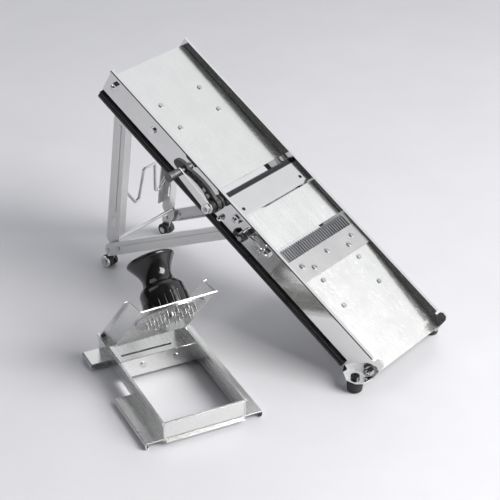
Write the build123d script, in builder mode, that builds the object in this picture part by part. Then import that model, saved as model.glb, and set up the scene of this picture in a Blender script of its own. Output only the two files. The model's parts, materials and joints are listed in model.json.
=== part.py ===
"""Steel mandoline slicer standing on its fold-out rear stand, with the food carriage and
pusher lying beside it on the table. Millimetres, +Z up.

Exported origin: on the table, in the middle of the footprint of everything. +X points
down-ramp towards the low end, +Y across, from the lever side to the plain side.
The layout below is drawn about another point, on the table midway between the side walls,
straight below the low end of the lips, and every piece is moved by the same amount at the end.

Three working frames are used:
  deck   u down-ramp, y across, n square to the lips (n = 0 is the top of the lips)
  tray   the carriage, which lies turned on the table
  press  the pusher, parked leaning on the carriage
"""
import os
from math import atan2, cos, hypot, radians, sin, sqrt, tan

from build123d import *

os.makedirs("parts", exist_ok=True)

# ---------------------------------------------------------------- driving dimensions
ramp_angle = 31.8          # lips against the table
lip_height = 36.4          # table to lip top at the low end
lip_length = 390.0
inner_width = 107.0        # between the side walls
sheet = 1.5                # wall and plate sheet
wall_depth = 38.0          # lip top to the bottom edge of the wall
lip_overhang = 2.5         # lip beyond the outer face of the wall
lip_fold = 3.0             # depth of the folded lip

rail_height = 9.0
rail_thickness = 2.8       # rail beyond the outer face of the wall
rail_inside = 1.2          # rail lip on the inner face

seat_gap = 0.15            # fixed piece to its neighbour
close_fit = 0.10           # fixed pin in its hole, radial
run_fit = 0.06             # turning pin in its hole, radial
part_gap = 0.4             # between pieces that move against each other

blade_front = 188.0        # straight edge, from the low end
blade_back = 219.0         # wavy edge
blade_depth = 4.5          # lip top to blade top
blade_sheet = 1.5
blade_hole_y = 45.0

upper_end = 387.5          # upper plate, top edge
upper_edge = 227.5         # upper plate, edge facing the blade
upper_depth_end = 7.6
upper_depth_edge = 11.0

middle_edge = 186.0        # middle plate, edge facing the blade
middle_end = 141.5
middle_depth = 5.5

comb_back = 124.0          # comb plate
comb_front = 98.5
comb_depth = 2.5
tooth_count = 30
tooth_pitch = 3.4
tooth_length = 15.5
tooth_thickness = 0.8

lower_start = 100.0        # lower plate tucks under the comb plate
lower_front = 12.0         # beyond the end of the lips
lower_depth_start = 4.3
lower_depth_front = 12.0

flange_depth = 9.0         # turned-down sides of the plates
pivot_radius = 2.0
bolt_radius = 2.0
leg_pivot_s = 378.5        # hinge of the legs and of the upper plate
leg_pivot_n = -13.7
guide_s, guide_n = 318.0, -15.5
middle_pivot_s, middle_pivot_n = 147.0, -11.5
upper_shaft_s, upper_shaft_n = 216.0, -9.5
lower_shaft_s, lower_shaft_n = 174.0, -14.0
brace_pivot_s, brace_pivot_n = 183.5, -22.3
shaft_radius = 2.4

leg_lean = 7.9             # behind the vertical
leg_width = 17.0
leg_offset = -1.5          # channel set forward of the hinge line
leg_channel = 10.0         # depth of the leg channel across the slicer
leg_sheet = 1.5
brace_width = 14.2
brace_depth = 4.2
foot_radius = 7.0
foot_drop = 14.8           # hook to foot axis

carriage_x, carriage_y, carriage_turn = -78.0, -209.5, -24.6
box_length = 107.6         # outside, front wall to back wall
box_width = 80.2           # inside
side_length = 165.0        # whole length of the carriage sides
box_top = 25.2
box_bottom = 4.4
carriage_sheet = 1.2
runner_level = 7.2         # top of the runner flange
runner_reach = 59.5        # centre to the outside of the runner hook

push_width = 79.0
push_length = 104.4
push_sheet = 1.5
push_tilt = 48.6           # plate against the table when parked
push_turn = 2.5            # parked askew on the carriage
knob_offset = 20.0         # knob and grip disc, towards the upper edge of the plate
wing_height = 20.0
knob_height = 57.5
knob_top_radius = 23.2
knob_waist_radius = 15.0
knob_base_radius = 23.6

# ---------------------------------------------------------------- derived
half = inner_width / 2
outer = half + sheet
cr, sr = cos(radians(ramp_angle)), sin(radians(ramp_angle))


def deck_point(s, y, n):
    """World point from distance up-ramp s, across y and height n over the lips."""
    return (-s * cr + n * sr, y, lip_height + s * sr + n * cr)


def deck_side(y=0.0):
    """Plane seen from the side: local x down-ramp, local y away from the lips, normal -Y."""
    return Plane(origin=deck_point(0, y, 0), x_dir=(cr, 0, -sr), z_dir=(0, -1, 0))


def deck_level(n=0.0):
    """Plane parallel to the lips: local x down-ramp, local y across."""
    return Plane(origin=deck_point(0, 0, n), x_dir=(cr, 0, -sr), z_dir=(sr, 0, cr))


def deck_across(s=0.0):
    """Plane square to the ramp: local x across, local y away from the lips, normal down-ramp."""
    return Plane(origin=deck_point(s, 0, 0), x_dir=(0, 1, 0), z_dir=(cr, 0, -sr))


def side_rod(s, n, y_from, y_to, radius):
    """Cylinder along Y between two positions, added to the part being built."""
    with Locations(Location(deck_point(s, (y_from + y_to) / 2, n), (90, 0, 0))):
        Cylinder(radius, abs(y_to - y_from))


def side_hex(s, n, y_from, y_to, flat):
    """Hexagon prism along Y."""
    with BuildSketch(deck_side(max(y_from, y_to))) as profile:
        with Locations((-s, n)):
            RegularPolygon(flat / 2, 6, major_radius=False)
    extrude(profile.sketch, amount=abs(y_to - y_from))


def side_dome(s, n, y, radius, side):
    """Rounded cap outside a face at y (side = -1 or 1)."""
    with Locations(Location(deck_point(s, y, n), (side * -90, 0, 0))):
        Sphere(radius, arc_size1=0)


def dome_nut(s, n, side, face, flat=8.0, height=3.2):
    """Hexagon nut with a domed end, seated on the outer face of a wall."""
    side_hex(s, n, side * face, side * (face + height), flat)
    side_dome(s, n, side * (face + height - 0.6), flat / 2 - 0.3, side)


pieces = {}


def save(part, name):
    """Keeps a finished piece; all of them are exported together at the end."""
    pieces[name] = part


# ---------------------------------------------------------------- side walls
flange_under = 12.5        # table to the underside of the foot flange
foot_x, foot_y = -13.0, outer + 10.5


def bend_n(s):
    """Height over the lips of the horizontal fold line of the foot flange."""
    return (flange_under - lip_height - s * sr) / cr


def wall_holes(side):
    """Holes through a side wall: (s, n, radius)."""
    holes = [
        (leg_pivot_s, leg_pivot_n, bolt_radius + close_fit),
        (guide_s, guide_n, bolt_radius + close_fit),
        (middle_pivot_s, middle_pivot_n, bolt_radius + close_fit),
        (brace_pivot_s, brace_pivot_n, bolt_radius + close_fit),
        (192.0, -10.5, bolt_radius + close_fit),
        (206.5, -26.5, bolt_radius + close_fit),
        (-5.0, -17.0, bolt_radius + close_fit),
        (upper_shaft_s, upper_shaft_n, shaft_radius + run_fit),
        (lower_shaft_s, lower_shaft_n, shaft_radius + run_fit),
    ]
    return holes


def make_wall(side):
    with BuildPart() as wall:
        # flat web with the rounded ear at the low end, cut along the fold of the foot flange
        with BuildSketch(deck_side(side * half)):
            with BuildLine():
                Polyline(
                    (-lip_length, 0), (0, 0), (0, -3.6), (2.4, -3.6), (3.2, 2.6), (6.4, 5.0),
                    (10.4, 4.2), (12.6, 0.6), (12.8, -12.0), (13.0, bend_n(-13.0)),
                    (-17.0, bend_n(17.0)), (-17.0, -wall_depth), (-lip_length, -wall_depth), close=True)
            make_face()
        extrude(amount=-side * sheet)
        # folded lip
        with BuildSketch(deck_across(lip_length)):
            with BuildLine():
                Polyline(
                    (side * (outer - 0.01), 0), (side * (outer + lip_overhang - 0.8), 0),
                    (side * (outer + lip_overhang), -0.8), (side * (outer + lip_overhang), -lip_fold),
                    (side * (outer + lip_overhang - 1.2), -lip_fold),
                    (side * (outer + lip_overhang - 1.2), -sheet), (side * (outer - 0.01), -sheet),
                    close=True)
            make_face()
        extrude(amount=lip_length)
        # foot flange folded out level with the table
        fold_low = deck_point(17.0, 0, bend_n(17.0))
        fold_high = deck_point(-13.0, 0, bend_n(-13.0))
        with BuildSketch(Plane.XY.offset(flange_under)):
            with BuildLine():
                Polyline(
                    (fold_low[0], side * (half + 0.0)), (fold_high[0], side * (half + 0.0)),
                    (fold_high[0] - 1.5, side * (outer + 12.0)), (fold_high[0] - 8.0, side * (outer + 17.5)),
                    (fold_high[0] - 19.0, side * (outer + 18.0)), (fold_low[0] + 6.0, side * (outer + 9.0)),
                    close=True)
            make_face()
        extrude(amount=sheet)
        # holes
        for s, n, radius in wall_holes(side):
            with Locations(Location(deck_point(s, side * (half + sheet / 2), n), (90, 0, 0))):
                Cylinder(radius, 3 * sheet, mode=Mode.SUBTRACT)
        with Locations(Location((foot_x, side * foot_y, flange_under))):
            Cylinder(bolt_radius + close_fit, 4 * sheet, mode=Mode.SUBTRACT)
    return wall.part


save(make_wall(-1), "side_wall_left")
save(make_wall(1), "side_wall_right")

# ---------------------------------------------------------------- black runner rails
rail_low = 18.0
rail_slot = seat_gap


def make_rail(side):
    with BuildPart() as rail:
        with BuildSketch(deck_across(lip_length - 0.5)):
            with BuildLine():
                y0 = half - rail_inside
                y1 = outer + rail_thickness
                top = -wall_depth + rail_height - 2.0
                foot = -wall_depth - 2.0
                mid = (top + foot) / 2 + 0.6
                Polyline(
                    (side * y0, foot + 0.6), (side * (y0 + 0.6), foot), (side * (y1 - 1.4), foot),
                    (side * (y1 - 0.4), foot + 0.5), (side * y1, foot + 1.8), (side * y1, mid - 0.9),
                    (side * (y1 - 0.8), mid - 0.3), (side * (y1 - 0.8), mid + 0.3), (side * y1, mid + 0.9),
                    (side * y1, top - 1.8), (side * (y1 - 0.4), top - 0.6), (side * (y1 - 1.4), top),
                    (side * (outer + rail_slot), top), (side * (outer + rail_slot), -wall_depth - rail_slot),
                    (side * (half - rail_slot), -wall_depth - rail_slot),
                    (side * (half - rail_slot), -wall_depth + 3.0), (side * y0, -wall_depth + 3.0), close=True)
            make_face()
        extrude(amount=lip_length - 0.5 - rail_low)
    return rail.part


save(make_rail(-1), "runner_rail_left")
save(make_rail(1), "runner_rail_right")

# ---------------------------------------------------------------- plates of the ramp
plate_half = half - seat_gap


def bent_plate(s_high, d_high, s_low, d_low, side_half, flange, flange_high, flange_low, thickness=sheet):
    """Plate between the walls with both sides turned down, added to the part being built.
    s_* and d_* are the ends and their depths below the lips."""
    slope = (d_low - d_high) / (s_high - s_low)

    def top(s):
        return -(d_high + (s_high - s) * slope)

    with BuildSketch(deck_side(side_half)) as profile:
        with BuildLine():
            Polyline((-s_high, top(s_high)), (-s_low, top(s_low)), (-s_low, top(s_low) - thickness),
                     (-s_high, top(s_high) - thickness), close=True)
        make_face()
    extrude(profile.sketch, amount=2 * side_half)
    for side in (-1, 1):
        with BuildSketch(deck_side(side * side_half)) as profile:
            with BuildLine():
                Polyline((-flange_high, top(flange_high) - 0.2), (-flange_low, top(flange_low) - 0.2),
                         (-flange_low - 2, top(flange_low) - flange), (-flange_high + 2, top(flange_high) - flange),
                         close=True)
            make_face()
        extrude(profile.sketch, amount=side * 1.2)
    return top


def side_hole(s, n, radius, y=0.0, length=4 * inner_width):
    with Locations(Location(deck_point(s, y, n), (90, 0, 0))):
        Cylinder(radius, length, mode=Mode.SUBTRACT)


def level_holes(points, radius, n_mid, length=12.0):
    """Holes square to the lips at (s, y) points."""
    with BuildSketch(deck_level(n_mid - length / 2)) as profile:
        for s, y in points:
            with Locations((-s, y)):
                Circle(radius)
    extrude(profile.sketch, amount=length, mode=Mode.SUBTRACT)


rivet_radius = 1.5
rivet_head = 2.8
lower_rivets = [(s, y) for s in (59.8, 91.5) for y in (-29.5, 29.5)]
upper_rivets = [(s, y) for s in (305.0, 335.8) for y in (-29.5, 29.5)]

with BuildPart() as lower_plate:
    lower_top = bent_plate(lower_start, lower_depth_start, -lower_front, lower_depth_front, plate_half,
                           flange_depth, 97.0, -lower_front + 1.0)
    side_hole(-5.0, -17.0, bolt_radius + close_fit)
    level_holes(lower_rivets, rivet_radius + close_fit, -8.0, 24.0)
save(lower_plate.part, "lower_plate")

with BuildPart() as comb_plate:
    comb_top = bent_plate(comb_back, comb_depth, comb_front, comb_depth, plate_half, 7.0, comb_back - 0.5,
                          comb_front + 3.0)
    comb_screws_at = [(114.0, -40.5), (106.9, -28.5), (114.0, 0.0), (106.9, 28.5), (114.0, 40.5)]
    level_holes(comb_screws_at, 1.6 + close_fit, -comb_depth, 12.0)
    with BuildSketch(deck_level(-comb_depth - 0.3)):
        with Locations((-119.0, 0)):
            Rectangle(0.6, inner_width - 6)
    extrude(amount=1.0, mode=Mode.SUBTRACT)
save(comb_plate.part, "comb_plate")

# julienne comb: a block under the comb plate carrying upright cutting teeth
comb_half = half - 3.0
block_top = -comb_depth - sheet - 0.05
with BuildPart() as julienne_comb:
    with BuildSketch(deck_side(comb_half)):
        with BuildLine():
            Polyline((-comb_back - 0.5, block_top), (-comb_front - 4.0, block_top),
                     (-comb_front - 4.0, block_top - 2.5), (-comb_back + 4.0, block_top - 4.0),
                     (-comb_back - 0.5, block_top - 4.0), close=True)
        make_face()
    extrude(amount=2 * comb_half)
    for i in range(tooth_count):
        y = (i - (tooth_count - 1) / 2) * tooth_pitch
        with BuildSketch(deck_side(y + tooth_thickness / 2)):
            with BuildLine():
                Polyline((-comb_back, block_top), (-comb_back - 0.45, -comb_depth),
                         (-comb_back - tooth_length + 4.0, -comb_depth - 0.2),
                         (-comb_back - tooth_length, -comb_depth - 2.6),
                         (-comb_back - tooth_length + 1.5, -comb_depth - 4.2),
                         (-comb_back, block_top - 3.6), close=True)
            make_face()
        extrude(amount=tooth_thickness)
    level_holes(comb_screws_at, 1.6 + close_fit, block_top - 1.0, 14.0)
save(julienne_comb.part, "julienne_comb")


def dome_heads(points, plane, radius, rise, shank, length):
    """Low domed heads with shanks below, standing on a plane, at local (x, y) points."""
    for x, y in points:
        with BuildSketch(plane) as profile:
            with Locations((x, y)):
                Circle(radius)
        extrude(profile.sketch, amount=rise * 0.55)
        with BuildSketch(plane.offset(rise * 0.55)) as profile:
            with Locations((x, y)):
                Circle(radius * 0.86)
        extrude(profile.sketch, amount=rise * 0.45)
        with BuildSketch(plane) as profile:
            with Locations((x, y)):
                Circle(shank)
        extrude(profile.sketch, amount=-length)


with BuildPart() as comb_screws:
    screw_plane = deck_level(-comb_depth + 0.02)
    dome_heads([(-s, y) for s, y in comb_screws_at], screw_plane, 3.1, 1.1, 1.6, 4.5)
    for s, y in comb_screws_at:
        with BuildSketch(screw_plane.offset(0.6)):
            with Locations(Location((-s, y), 35)):
                Rectangle(5.0, 0.8)
        extrude(amount=1.0, mode=Mode.SUBTRACT)
save(comb_screws.part, "comb_screws")

# ---------------------------------------------------------------- double-edged blade
with BuildPart() as blade:
    blade_half = half - 0.3
    with BuildSketch(deck_side(blade_half)):
        with BuildLine():
            Polyline((-blade_back, -blade_depth - 0.35), (-blade_back + 6.0, -blade_depth),
                     (-blade_front - 1.8, -blade_depth), (-blade_front, -blade_depth - blade_sheet + 0.3),
                     (-blade_front, -blade_depth - blade_sheet), (-blade_back, -blade_depth - blade_sheet + 0.8),
                     close=True)
        make_face()
    extrude(amount=2 * blade_half)
    # wavy edge: fine rounded notches along the up-ramp side
    notch_pitch = 2.4
    notch_count = int(2 * blade_half / notch_pitch) - 1
    with BuildSketch(deck_level(-blade_depth - blade_sheet - 1.0)):
        for i in range(notch_count):
            with Locations((-blade_back - 0.25, (i - (notch_count - 1) / 2) * notch_pitch)):
                Circle(0.95)
    extrude(amount=4.0, mode=Mode.SUBTRACT)
    # grooves running back from the notches over the bevel
    with BuildSketch(deck_level(-blade_depth - 0.45)):
        for i in range(notch_count):
            with Locations((-blade_back + 2.7, (i - (notch_count - 1) / 2) * notch_pitch)):
                Rectangle(5.4, 1.2)
    extrude(amount=2.0, mode=Mode.SUBTRACT)
    level_holes([(195.4, -blade_hole_y), (195.4, blade_hole_y)], 1.9 + close_fit, -blade_depth, 8.0)
save(blade.part, "blade")

with BuildPart() as blade_brackets:
    for side in (-1, 1):
        low = -blade_depth - blade_sheet - 0.05
        with BuildSketch(deck_side(side * (half - seat_gap))):
            with BuildLine():
                Polyline((-204.0, low), (-189.5, low), (-189.5, low - 1.5), (-188.8, low - 7.5),
                         (-196.0, low - 7.5), (-204.0, low - 1.5), close=True)
            make_face()
        extrude(amount=side * 1.5)
        with BuildSketch(deck_side(side * (half - seat_gap))):
            with BuildLine():
                Polyline((-204.0, low), (-189.5, low), (-189.5, low - 1.5), (-204.0, low - 1.5), close=True)
            make_face()
        extrude(amount=side * 14.0)
    side_hole(192.0, -10.5, bolt_radius + close_fit)
    level_holes([(195.4, -blade_hole_y), (195.4, blade_hole_y)], 1.9 + close_fit, -blade_depth - 2.0, 8.0)
save(blade_brackets.part, "blade_brackets")

with BuildPart() as blade_pins:
    pin_plane = deck_level(-blade_depth - 0.5)
    for side in (-1, 1):
        with BuildSketch(pin_plane):
            with Locations((-195.4, side * blade_hole_y)):
                Circle(1.9)
        extrude(amount=-3.6)
        with BuildSketch(pin_plane.offset(-3.6)):
            with Locations((-195.4, side * blade_hole_y)):
                Circle(3.0)
        extrude(amount=-1.6)
save(blade_pins.part, "blade_pins")

# ---------------------------------------------------------------- fasteners through the walls
with BuildPart() as lower_plate_bolts:
    for side in (-1, 1):
        side_rod(-5.0, -17.0, side * (half - 4.0), side * (outer + 0.5), bolt_radius)
        side_rod(-5.0, -17.0, side * (half - 4.0), side * (half - 1.6), 3.6)
        dome_nut(-5.0, -17.0, side, outer + 0.05)
save(lower_plate_bolts.part, "lower_plate_bolts")

leg_outer = half - 8.0     # outer face of the leg web
with BuildPart() as top_pivot_bolts:
    for side in (-1, 1):
        side_rod(leg_pivot_s, leg_pivot_n, side * (leg_outer - leg_sheet - 0.8), side * (outer + 0.5), pivot_radius)
        side_rod(leg_pivot_s, leg_pivot_n, side * (leg_outer - leg_sheet - 2.4), side * (leg_outer - leg_sheet - part_gap), 3.4)
        side_rod(leg_pivot_s, leg_pivot_n, side * (leg_outer + part_gap), side * (half - 2.0), 3.2)
        dome_nut(leg_pivot_s, leg_pivot_n, side, outer + 0.05, 9.0)
save(top_pivot_bolts.part, "top_pivot_bolts")

with BuildPart() as guide_bolts:
    for side in (-1, 1):
        side_rod(guide_s, guide_n, side * (half - 3.6), side * (outer + 0.5), bolt_radius)
        side_rod(guide_s, guide_n, side * (half - 3.6), side * (half - 1.9), 4.2)
        side_rod(guide_s, guide_n, side * (outer + 0.05), side * (outer + 2.2), 3.8)
save(guide_bolts.part, "guide_bolts")

with BuildPart() as middle_pivot_bolts:
    for side in (-1, 1):
        side_rod(middle_pivot_s, middle_pivot_n, side * (half - 3.8), side * (outer + 0.5), pivot_radius)
        side_rod(middle_pivot_s, middle_pivot_n, side * (half - 3.8), side * (half - 2.0), 3.4)
        dome_nut(middle_pivot_s, middle_pivot_n, side, outer + 0.05, 9.0)
save(middle_pivot_bolts.part, "middle_pivot_bolts")

with BuildPart() as blade_bracket_bolts:
    for side in (-1, 1):
        side_rod(192.0, -10.5, side * (half - 3.8), side * (outer + 0.5), bolt_radius)
        side_rod(192.0, -10.5, side * (half - 3.8), side * (half - 1.8), 2.6)
        dome_nut(192.0, -10.5, side, outer + 0.05, 9.5, 3.6)
save(blade_bracket_bolts.part, "blade_bracket_bolts")

brace_outer = half - 2.8   # outer face of the braces
with BuildPart() as brace_bolts:
    for side in (-1, 1):
        side_rod(brace_pivot_s, brace_pivot_n, side * (brace_outer - brace_depth - 0.6), side * (outer + 0.5), pivot_radius)
        side_rod(brace_pivot_s, brace_pivot_n, side * (brace_outer - brace_depth - 0.5 - 0.1),
                 side * (brace_outer - 1.5 - part_gap), 4.0)
        side_rod(brace_pivot_s, brace_pivot_n, side * (brace_outer + part_gap), side * (half - seat_gap), 4.0)
        side_hex(brace_pivot_s, brace_pivot_n, side * (outer + 0.05), side * (outer + 4.0), 6.0)
        side_rod(brace_pivot_s, brace_pivot_n, side * (outer + 0.05), side * (outer + 1.4), 4.2)
save(brace_bolts.part, "brace_bolts")

with BuildPart() as stop_pins:
    for side in (-1, 1):
        side_rod(206.5, -26.5, side * (half - 1.6), side * (outer + 3.0), bolt_radius)
        side_rod(206.5, -26.5, side * (half - 1.6), side * (half - seat_gap), 3.0)
        side_dome(206.5, -26.5, side * (outer + 3.6), 3.3, side)
save(stop_pins.part, "stop_pins")

# ---------------------------------------------------------------- low feet
with BuildPart() as low_foot_screws:
    for side in (-1, 1):
        with Locations(Location((foot_x, side * foot_y, flange_under + sheet + 0.05 + 1.3))):
            Cylinder(4.4, 2.6)
        with Locations(Location((foot_x, side * foot_y, flange_under + sheet + 2.4))):
            Cylinder(3.4, 1.4)
        with Locations(Location((foot_x, side * foot_y, flange_under - 2.0))):
            Cylinder(bolt_radius, 8.0)
        with BuildSketch(Plane.XY.offset(flange_under + sheet + 2.2)):
            with Locations((foot_x, side * foot_y)):
                RegularPolygon(1.6, 6)
        extrude(amount=3.0, mode=Mode.SUBTRACT)
save(low_foot_screws.part, "low_foot_screws")

with BuildPart() as low_rubber_feet:
    for side in (-1, 1):
        with BuildSketch(Plane(origin=(foot_x, side * foot_y, 0), x_dir=(1, 0, 0), z_dir=(0, -1, 0))):
            with BuildLine():
                Polyline((0, 0), (6.4, 0), (7.4, 1.0), (8.2, flange_under - 2.0), (7.6, flange_under - 0.1),
                         (0, flange_under - 0.1), close=True)
            make_face()
        revolve(axis=Axis((foot_x, side * foot_y, 0), (0, 0, 1)))
        with Locations(Location((foot_x, side * foot_y, flange_under - 2.0))):
            Cylinder(bolt_radius + close_fit, 9.0, mode=Mode.SUBTRACT)
save(low_rubber_feet.part, "low_rubber_feet")


# ---------------------------------------------------------------- rivets and stiffeners
def plate_plane(top, s, lift=0.0):
    """Plane on a sloping plate at station s, local x down-ramp along the plate."""
    slope = top(s) - top(s + 1.0)
    angle = atan2(slope, 1.0)
    ux, un = cos(angle), sin(angle)
    x_dir = (ux * cr + un * sr, 0, -ux * sr + un * cr)
    z_dir = (ux * sr - un * cr, 0, ux * cr + un * sr)
    return Plane(origin=deck_point(s, 0, top(s)), x_dir=x_dir, z_dir=z_dir).offset(lift)


def stiffener(top, rivets, plate_thickness):
    """Shallow channel riveted under a plate."""
    s_mid = sum(s for s, _ in rivets) / len(rivets)
    plane = plate_plane(top, s_mid, -plate_thickness - 0.05)
    span = max(s for s, _ in rivets) - min(s for s, _ in rivets)
    width = 2 * max(y for _, y in rivets) + 8.0
    with BuildSketch(plane) as profile:
        RectangleRounded(span + 12.0, width, 3.0)
    extrude(profile.sketch, amount=-1.5)
    for side in (-1, 1):
        with BuildSketch(plane) as profile:
            with Locations((side * (span / 2 + 5.2), 0)):
                Rectangle(1.5, width - 6)
        extrude(profile.sketch, amount=-5.0)


def rivets_on(top, rivets, plate_thickness):
    for s, y in rivets:
        plane = plate_plane(top, s, 0.03)
        dome_heads([(0, y)], plane, rivet_head, 0.8, rivet_radius, plate_thickness + 1.7)


with BuildPart() as lower_plate_stiffener:
    stiffener(lower_top, lower_rivets, sheet)
    level_holes(lower_rivets, rivet_radius + 0.45, -8.0, 24.0)
save(lower_plate_stiffener.part, "lower_plate_stiffener")

with BuildPart() as lower_plate_rivets:
    rivets_on(lower_top, lower_rivets, sheet)
save(lower_plate_rivets.part, "lower_plate_rivets")

# ---------------------------------------------------------------- upper plate, hinged at its top end
moving_half = half - part_gap
with BuildPart() as upper_plate:
    upper_top = bent_plate(upper_end, upper_depth_end, upper_edge, upper_depth_edge, moving_half,
                           flange_depth + 2.5, upper_end - 1.0, upper_edge + 34.0)
    side_hole(leg_pivot_s, leg_pivot_n, pivot_radius + run_fit)
    for side in (-1, 1):
        with BuildSketch(deck_side(side * (half - 3.0))):
            with Locations((-guide_s, guide_n - 1.2)):
                SlotOverall(9.4, 2 * (bolt_radius + 0.25), rotation=90)
        extrude(amount=-side * 4.0, mode=Mode.SUBTRACT)
    level_holes(upper_rivets, rivet_radius + close_fit, -9.0, 12.0)
save(upper_plate.part, "upper_plate")

with BuildPart() as upper_plate_stiffener:
    stiffener(upper_top, upper_rivets, sheet)
    level_holes(upper_rivets, rivet_radius + close_fit, -10.0, 14.0)
save(upper_plate_stiffener.part, "upper_plate_stiffener")

with BuildPart() as upper_plate_rivets:
    rivets_on(upper_top, upper_rivets, sheet)
save(upper_plate_rivets.part, "upper_plate_rivets")

# ---------------------------------------------------------------- middle plate
with BuildPart() as middle_plate:
    middle_top = bent_plate(middle_edge, middle_depth, middle_end, middle_depth, moving_half, 9.5,
                            163.0, middle_end + 0.5)
    side_hole(middle_pivot_s, middle_pivot_n, pivot_radius + run_fit)
save(middle_plate.part, "middle_plate")


# ---------------------------------------------------------------- upper thickness lever
def finger(points, y, width, root, tip):
    """Tapered lift finger along (s, n) points, from a shaft to a rounded tip."""
    for i, (start, end) in enumerate(zip(points, points[1:])):
        r0 = root + (tip - root) * i / (len(points) - 1)
        r1 = root + (tip - root) * (i + 1) / (len(points) - 1)
        length = hypot(end[0] - start[0], end[1] - start[1])
        ux, un = -(end[0] - start[0]) / length, (end[1] - start[1]) / length
        px, pn = -un, ux
        with BuildSketch(deck_side(y + width / 2)) as profile:
            with BuildLine():
                Polyline((-start[0] + px * r0, start[1] + pn * r0), (-end[0] + px * r1, end[1] + pn * r1),
                         (-end[0] - px * r1, end[1] - pn * r1), (-start[0] - px * r0, start[1] - pn * r0),
                         close=True)
            make_face()
            with Locations((-end[0], end[1])):
                Circle(r1)
        extrude(profile.sketch, amount=width)


upper_finger_s = 231.0
upper_finger_n = upper_top(upper_finger_s) - sheet - 0.3 - 1.4
hub_y0 = outer + 0.5
hub_y1 = outer + 19.2
with BuildPart() as upper_lever_shaft:
    side_rod(upper_shaft_s, upper_shaft_n, -(hub_y1 + 6.4), outer + 1.5, shaft_radius)
    for side in (-1, 1):
        side_rod(upper_shaft_s, upper_shaft_n, side * (half - 0.5), side * (half - 9.0), 3.0)
        finger([(upper_shaft_s, upper_shaft_n), (upper_shaft_s + 6.5, upper_finger_n - 1.4),
                (upper_finger_s, upper_finger_n)], side * (half - 5.5), 4.0, 2.6, 1.4)
save(upper_lever_shaft.part, "upper_lever_shaft")

with BuildPart() as upper_lever_hub:
    side_rod(upper_shaft_s, upper_shaft_n, -hub_y0, -(hub_y0 + 3.2), 6.0)
    side_rod(upper_shaft_s, upper_shaft_n, -(hub_y0 + 3.2), -(hub_y0 + 6.0), 7.6)
    side_rod(upper_shaft_s, upper_shaft_n, -(hub_y0 + 6.0), -(hub_y0 + 9.0), 6.8)
    side_rod(upper_shaft_s, upper_shaft_n, -(hub_y0 + 13.2), -hub_y1, 6.4)
    side_rod(upper_shaft_s, upper_shaft_n, -(hub_y0 + 9.0), -(hub_y0 + 13.2), 4.2)
    for ring in range(3):
        y = -(hub_y0 + 14.2 + 1.7 * ring)
        with Locations(Location(deck_point(upper_shaft_s, y, upper_shaft_n), (90, 0, 0))):
            Cylinder(7.2, 0.6, mode=Mode.SUBTRACT)
            Cylinder(5.8, 0.6)
    side_hole(upper_shaft_s, upper_shaft_n, shaft_radius + 0.02)
save(upper_lever_hub.part, "upper_lever_hub")

arm_y = -(hub_y0 + 9.1)
arm_thickness = 4.0
with BuildPart() as upper_lever_arm:
    with BuildSketch(deck_side(arm_y)):
        with BuildLine():
            top_edge = Spline((-216.0, -1.6), (-232.0, 2.0), (-247.0, 1.6), (-262.0, -2.5),
                              tangents=[(-1, 0.35), (-0.9, -0.45)])
            Line((-262.0, -2.5), (-262.0, -9.6))
            low_edge = Spline((-262.0, -9.6), (-248.0, -6.0), (-233.0, -6.4), (-218.0, -17.2),
                              tangents=[(0.95, 0.45), (0.55, -0.9)])
            Line((-218.0, -17.2), (-216.0, -1.6))
        make_face()
        with Locations((-upper_shaft_s, upper_shaft_n)):
            Circle(7.8)
        with Locations(Location((-266.5, -5.4), 12)):
            Ellipse(9.5, 5.6)
    extrude(amount=arm_thickness)
    side_hole(upper_shaft_s, upper_shaft_n, 4.2 + 0.03)
    side_hole(225.2, -4.0, 1.3, arm_y, 12)
    side_hole(231.8, -2.4, 1.3, arm_y, 12)
    side_hole(262.0, -6.0, 2.55, arm_y, 14)
save(upper_lever_arm.part, "upper_lever_arm")

with BuildPart() as upper_lever_handle:
    bar_end = outer + 36.0
    side_rod(262.0, -6.0, -(outer + 3.6), -(bar_end - 1.0), 2.5)
    side_rod(262.0, -6.0, -(outer + 3.6), arm_y + 0.05, 4.0)
    side_rod(262.0, -6.0, arm_y - arm_thickness - 0.05, -(hub_y1 - 0.05), 3.6)
    side_rod(262.0, -6.0, -(hub_y1 + 1.75), -bar_end, 4.0)
    side_rod(262.0, -6.0, -(bar_end - 4.5), -bar_end, 4.8)
save(upper_lever_handle.part, "upper_lever_handle")

# flat polished link from the end of the hub to the handle, outside the black arm
with BuildPart() as upper_lever_link:
    with BuildSketch(deck_side(-(hub_y1 + 0.05))):
        with Locations((-upper_shaft_s, upper_shaft_n)):
            Circle(5.6)
        with Locations((-262.0, -6.0)):
            Circle(4.6)
        with BuildLine():
            Polyline((-upper_shaft_s, upper_shaft_n + 5.0), (-262.0, -1.6), (-262.0, -10.2),
                     (-upper_shaft_s, upper_shaft_n - 5.2), close=True)
        make_face()
    extrude(amount=1.6)
    side_hole(upper_shaft_s, upper_shaft_n, shaft_radius + 0.03)
    side_hole(262.0, -6.0, 2.55)
save(upper_lever_link.part, "upper_lever_link")

with BuildPart() as upper_lever_nut:
    side_hex(upper_shaft_s, upper_shaft_n, -(hub_y1 + 1.75), -(hub_y1 + 5.9), 9.0)
    side_hole(upper_shaft_s, upper_shaft_n, shaft_radius + 0.05)
save(upper_lever_nut.part, "upper_lever_nut")

with BuildPart() as upper_lever_screws:
    for s, n in ((225.2, -4.0), (231.8, -2.4)):
        side_rod(s, n, arm_y - 0.4, arm_y - arm_thickness - 0.5, 1.2)
        side_rod(s, n, arm_y - arm_thickness - 0.05, arm_y - arm_thickness - 1.4, 2.3)
save(upper_lever_screws.part, "upper_lever_screws")

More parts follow.
